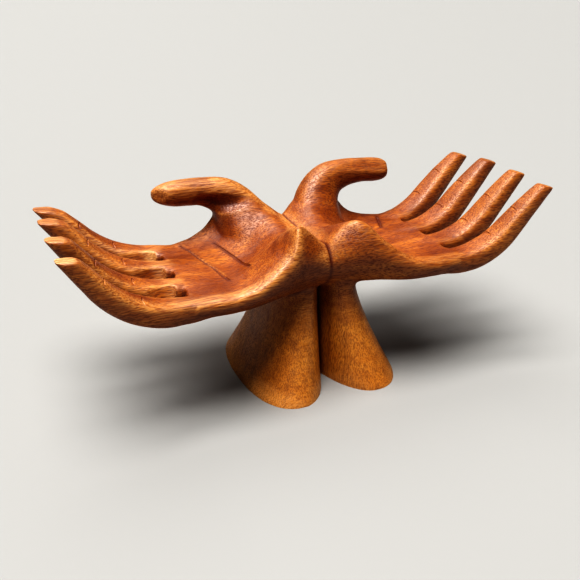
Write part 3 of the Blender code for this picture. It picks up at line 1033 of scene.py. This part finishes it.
def easeShape(obj, hand, marks, finish):  # smoothed, hollowed and marked by the gouge
    strength = carving["easing"]
    storeGroup(obj, "blend", growTogether(obj.data, hand))
    addModifier(obj, "ease", "SMOOTH", factor=strength, iterations=hand["smoothing"])
    addModifier(obj, "blend", "SMOOTH", factor=strength, iterations=carving["blending"], vertex_group="blend")
    data = settle(obj)
    pressValleys(data, hand)
    markScoops(data, hand)
    useTree(obj, marks, {**toolMarks["tree"], "Seed": hand["seed"], "Finish": finish})
    addModifier(obj, "thin", "DECIMATE", ratio=carving["keptFaces"])
    settle(obj)


def cutShape(obj, name, hand, gouge, finish, holes):  # cut flat to the solids' box, creased and bored
    ends = sorted((hand["side"] * carving["glueGap"] / 2, cadLow.x if hand["side"] < 0 else cadHigh.x))
    blank = blockTool(name + "Blank", (ends[0], cadLow.y, cadLow.z), (ends[1], cadHigh.y, cadHigh.z))
    creases, creasePlaces = creaseTool(name + "Creases", hand, obj.data, gouge, finish)
    addCut(obj, blank, "INTERSECT")
    for tool in (creases, *holes):
        addCut(obj, tool, "DIFFERENCE")
    closeSlivers(settle(obj))
    putAway((blank, creases))
    return creasePlaces


def carveHand(name, hand, marks, gouge, finish, holes):
    obj = fuseSkins(name, hand)
    print(name, "fused:", len(obj.data.polygons), "faces")
    easeShape(obj, hand, marks, finish)
    print(name, "shaped:", len(obj.data.polygons), "faces")
    creasePlaces = cutShape(obj, name, hand, gouge, finish, holes)
    data = obj.data
    data.materials.clear()
    data.materials.append(finish)
    storePaleAndShade(data, hand, creasePlaces)
    data.shade_smooth()
    data.set_sharp_from_angle(angle=carving["sharpAngle"])
    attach(obj, "root")
    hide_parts(name)
    print(name, "carved:", len(data.polygons), "faces")


def colourOf(shade):
    return (*shade, 1.0)


def newFinish(name):
    material = bpy.data.materials.new(name)
    material.use_nodes = True
    return material, material.node_tree, material.node_tree.nodes["Principled BSDF"].inputs


def objectPlace(tree):
    return addNode(tree, "ShaderNodeTexCoord").outputs["Object"]


def stretchedNoise(tree, place, scale, detail, roughness, turn=(0, 0, 0), shift=(0, 0, 0)):
    mapped = addNode(
        tree, "ShaderNodeMapping", {"Vector": place, "Scale": scale, "Rotation": turn, "Location": shift}
    )
    noise = addNode(
        tree, "ShaderNodeTexNoise",
        {"Vector": mapped.outputs[0], "Scale": 1.0, "Detail": detail, "Roughness": roughness},
    )
    return noise.outputs[0]


def remap(tree, value, low, high, newLow=0.0, newHigh=1.0):
    return addNode(
        tree, "ShaderNodeMapRange",
        {"Value": value, "From Min": low, "From Max": high, "To Min": newLow, "To Max": newHigh},
        interpolation_type="SMOOTHSTEP",
    ).outputs[0]


def blendColour(tree, share, a, b, way="MIX"):
    mix = addNode(tree, "ShaderNodeMix", {0: share}, data_type="RGBA", blend_type=way)
    for socket, value in ((mix.inputs[6], a), (mix.inputs[7], b)):  # its colour sockets
        if isinstance(value, bpy.types.NodeSocket):
            tree.links.new(value, socket)
        else:
            socket.default_value = colourOf(value)
    return mix.outputs[2]


def blendValue(tree, share, a, b):  # 2 and 3 are the Mix node's value sockets
    return addNode(tree, "ShaderNodeMix", {0: share, 2: a, 3: b}, data_type="FLOAT").outputs[0]


def surfaceValue(tree, name):
    return addNode(tree, "ShaderNodeAttribute", attribute_name=name, attribute_type="GEOMETRY").outputs["Fac"]


def roughen(tree, height, strength, depth):
    return addNode(
        tree, "ShaderNodeBump", {"Height": height, "Strength": strength, "Distance": depth}
    ).outputs[0]


grainLean = (0.0, 0.05, 0.03)  # the grain isn't quite level
stain = {
    "rings": {"Scale": (0.10, 1.0, 1.0), "Location": (0.0, 0.035, -0.135), "Rotation": grainLean},
    "bands": {"Scale": 42.0, "Distortion": 4.0, "Detail": 3.0, "Detail Scale": 1.4, "Detail Roughness": 0.6},
    # scale, detail, roughness, turn and shift
    "noise": {
        "streaks": ((14.0, 420.0, 420.0), 5.0, 0.6, grainLean),
        "fibres": ((70.0, 1500.0, 1500.0), 3.0, 0.6, grainLean, (3.1, 0.7, 1.9)),
        "pores": ((260.0, 1700.0, 1700.0), 2.0, 0.5, grainLean, (7.7, 2.3, 5.1)),
        "footPores": ((1800.0, 1800.0, 330.0), 2.0, 0.5, grainLean, (2.9, 6.3, 1.7)),
        "footStreaks": ((260.0, 260.0, 14.0), 3.0, 0.6, (0, 0, 0), (4.3, 8.1, 0.6)),
        "blotches": ((28.0, 40.0, 40.0), 3.0, 0.5, (0, 0, 0), (1.3, 4.1, 2.2)),
    },
    "bandShare": 0.10,
    "streakShare": 0.55,
    "fibreShare": 0.32,
    "blotchShare": 0.28,
    "ramp": (
        (0.20, (0.130, 0.026, 0.0030)),
        (0.50, (0.290, 0.083, 0.0100)),
        (0.80, (0.480, 0.185, 0.0290)),
    ),
    "blotchEdge": (0.3, 0.7),
    "blotchTone": (-0.5, 0.5),
    "poreEdge": (0.46, 0.60),
    "poreShare": 0.70,
    "poreShade": (0.105, 0.014, 0.002),
    "footHeights": (0.030, 0.062),
    # paler golden tone towards the foot: the wood's tone with painted light
    "footTintAndLight": (0.310, 0.122, 0.016),
    "footPoreShare": 0.66,
    "footStreakEdge": (0.44, 0.70),
    "footStreakShare": 0.35,
    # painted shade in hollows, creases and the slots' ends, and the glue joint kept dark
    "paintedShadeShare": 0.75,
    "paintedShadeColour": (0.090, 0.012, 0.002),
    "wearSheenBreak": (0.36, 0.62, 0.15, 1.0),  # the fibres break up the pale wear and painted sheen
    "wearSheenShare": 0.62,
    "wearSheenShade": (0.720, 0.370, 0.120),
    # pale cut ends with a painted glare
    "tipBreak": (0.40, 0.60, 0.25, 1.0),
    "tipShare": 0.80,
    "tipCutAndGlare": (0.700, 0.450, 0.210),
    "rough": (0.36, 0.48),
    "poreRough": 0.18,
    "poreRelief": -1.0,
    "fibreRelief": 0.5,
    "relief": 0.32,
    "reliefDepth": 0.00025,
    "shine": 0.55,
}


def stainedWood(s):
    material, tree, shader = newFinish("stainedWood")
    place = objectPlace(tree)
    grain = {name: stretchedNoise(tree, place, *noise) for name, noise in s["noise"].items()}
    rings = addNode(tree, "ShaderNodeMapping", {"Vector": place, **s["rings"]})
    bands = addNode(
        tree, "ShaderNodeTexWave", {"Vector": rings.outputs[0], **s["bands"]},
        wave_type="RINGS", rings_direction="X", wave_profile="SIN",
    ).outputs["Fac"]
    blotches = remap(tree, grain["blotches"], *s["blotchEdge"], *s["blotchTone"])
    tone = times(tree, bands, s["bandShare"])
    parts = {"streakShare": grain["streaks"], "fibreShare": grain["fibres"], "blotchShare": blotches}
    for share, part in parts.items():
        tone = plus(tree, tone, times(tree, part, s[share]))
    ramp = addNode(tree, "ShaderNodeValToRGB", {"Fac": tone})
    stops = ramp.color_ramp.elements
    while len(stops) < len(s["ramp"]):
        stops.new(0.5)
    for stop, (at, shade) in zip(stops, s["ramp"]):
        stop.position = at
        stop.color = colourOf(shade)

    # the forearms are paler and more golden towards the foot, partly the wood's tone and partly painted light
    # on their lower fronts, with upright streaks and pores
    height = addNode(tree, "ShaderNodeSeparateXYZ", {"Vector": place}).outputs["Z"]
    foot = remap(tree, height, *s["footHeights"], 1.0, 0.0)
    footStreaks = times(tree, foot, remap(tree, grain["footStreaks"], *s["footStreakEdge"]))
    footPores = times(tree, remap(tree, grain["footPores"], *s["poreEdge"]), s["footPoreShare"])
    pores = blendValue(tree, foot, remap(tree, grain["pores"], *s["poreEdge"]), footPores)
    colour = blendColour(tree, foot, ramp.outputs["Color"], s["footTintAndLight"], "SCREEN")

    wearAndSheen = times(tree, surfaceValue(tree, "wearAndSheen"), remap(tree, grain["fibres"], *s["wearSheenBreak"]))
    tip = times(tree, surfaceValue(tree, "tip"), remap(tree, grain["fibres"], *s["tipBreak"]))
    # streaks and pores, painted shade, wear with painted sheen, and pale cut ends with painted glare
    layers = (
        (footStreaks, "footStreakShare", "poreShade"),
        (pores, "poreShare", "poreShade"),
        (surfaceValue(tree, "paintedShadeAndJoint"), "paintedShadeShare", "paintedShadeColour"),
        (wearAndSheen, "wearSheenShare", "wearSheenShade"),
        (tip, "tipShare", "tipCutAndGlare"),
    )
    for cover, share, shade in layers:
        colour = blendColour(tree, times(tree, cover, s[share]), colour, s[shade])
    rough = remap(tree, grain["blotches"], *s["blotchEdge"], *s["rough"])
    rough = plus(tree, rough, times(tree, pores, s["poreRough"]))
    relief = plus(tree, times(tree, pores, s["poreRelief"]), times(tree, grain["fibres"], s["fibreRelief"]))
    bump = roughen(tree, relief, s["relief"], s["reliefDepth"])
    joinNodes(tree, (colour, shader["Base Color"]), (rough, shader["Roughness"]), (bump, shader["Normal"]))
    shader["Specular IOR Level"].default_value = s["shine"]
    return material


plainDowel = {
    "streak": ((25.0, 700.0, 700.0), 4.0, 0.6),  # scale, detail and roughness
    "streakEdge": (0.25, 0.75),
    "dark": (0.46, 0.29, 0.14),
    "light": (0.62, 0.45, 0.25),
    "pore": ((350.0, 2600.0, 2600.0), 2.0, 0.55),
    "poreEdge": (0.56, 0.68),
    "poreShare": 0.4,
    "poreShade": (0.30, 0.17, 0.08),
    "rough": (0.2, 0.8, 0.5, 0.72),
    "relief": 0.4,
    "reliefDepth": 0.0002,
}


def dowelWood(s):
    material, tree, shader = newFinish("dowelWood")
    place = objectPlace(tree)
    streaks = stretchedNoise(tree, place, *s["streak"])
    pores = remap(tree, stretchedNoise(tree, place, *s["pore"]), *s["poreEdge"])
    colour = blendColour(tree, remap(tree, streaks, *s["streakEdge"]), s["dark"], s["light"])
    colour = blendColour(tree, times(tree, pores, s["poreShare"]), colour, s["poreShade"])
    rough = remap(tree, streaks, *s["rough"])
    bump = roughen(tree, streaks, s["relief"], s["reliefDepth"])
    joinNodes(tree, (colour, shader["Base Color"]), (rough, shader["Roughness"]), (bump, shader["Normal"]))
    return material


studio = {
    "floorSize": 60.0,
    "floorShade": (0.27, 0.267, 0.260),
    "floorRough": 0.75,
    "skyShade": (0.92, 0.96, 1.0),
    "skyPower": 0.03,
    "backdropPower": 0.55,
    "viewTransform": "Standard",
    "look": "Very High Contrast",
    "exposure": 0.0,
    "lampTint": (1.0, 0.99, 0.97),
    # suns, even over the whole floor, and soft because they are wide
    "lamps": {
        "overhead": {"from": (-0.16, -0.06, 0.98), "spread": math.radians(42), "power": 4.8},
        "behind": {"from": (0.00, 0.64, 0.77), "spread": math.radians(40), "power": 0.8},
    },
}


def floorFinish(s):
    material, _, shader = newFinish("paleFloor")
    shader["Base Color"].default_value = colourOf(s["floorShade"])
    shader["Roughness"].default_value = s["floorRough"]
    return material


def setStage(s):
    scene = bpy.context.scene
    bm = bmesh.new()
    bmesh.ops.create_grid(bm, x_segments=1, y_segments=1, size=s["floorSize"] / 2)
    floor = objectFrom("floor", bm)
    floor.data.materials.append(floorFinish(s))
    for name, lamp in s["lamps"].items():
        light = bpy.data.lights.new(name, "SUN")
        light.angle = lamp["spread"]
        light.energy = lamp["power"]
        light.color = s["lampTint"]
        obj = addObject(name, light)
        obj.location = lamp["from"]
        obj.rotation_euler = Vector(lamp["from"]).to_track_quat("Z", "Y").to_euler()
    world = bpy.data.worlds.new("studio")
    world.use_nodes = True
    tree = world.node_tree
    sky = tree.nodes["Background"].inputs
    sky["Color"].default_value = colourOf(s["skyShade"])
    seen = addNode(tree, "ShaderNodeLightPath").outputs["Is Camera Ray"]
    power = {"Value": seen, "To Min": s["skyPower"], "To Max": s["backdropPower"]}
    joinNodes(tree, (addNode(tree, "ShaderNodeMapRange", power).outputs[0], sky["Strength"]))
    scene.world = world
    scene.view_settings.view_transform = s["viewTransform"]
    scene.view_settings.look = s["look"]
    scene.view_settings.exposure = s["exposure"]


photoView = {
    "place": (-0.16284, -0.36369, 0.23152),
    "turn": 23.0,
    "tilt": 25.3,
    "lens": 46.54,
    "sensor": 36.0,
    "nearest": 0.01,
}


def setCamera(s):
    data = bpy.data.cameras.new("photoCamera")
    data.sensor_width = s["sensor"]
    data.lens = s["lens"]
    data.clip_start = s["nearest"]
    obj = addObject("photoCamera", data)
    obj.location = s["place"]
    obj.rotation_euler = (math.radians(90 - s["tilt"]), 0, -math.radians(s["turn"]))
    bpy.context.scene.camera = obj


setCamera(photoView)
setStage(studio)
print("stage set")
handFinish = stainedWood(stain)
marks, gouge = toolMarkTree(), gougeTree()
holes = [dowelHoleTool(node + "Hole", node) for node in dowels]
for handName, handCut in hands.items():
    carveHand(handName, handCut, marks, gouge, handFinish, holes)
putAway(holes)
dowelFinish = dowelWood(plainDowel)
for node in dowels:
    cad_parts[node].data.materials.clear()
    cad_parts[node].data.materials.append(dowelFinish)
print("dowels finished")
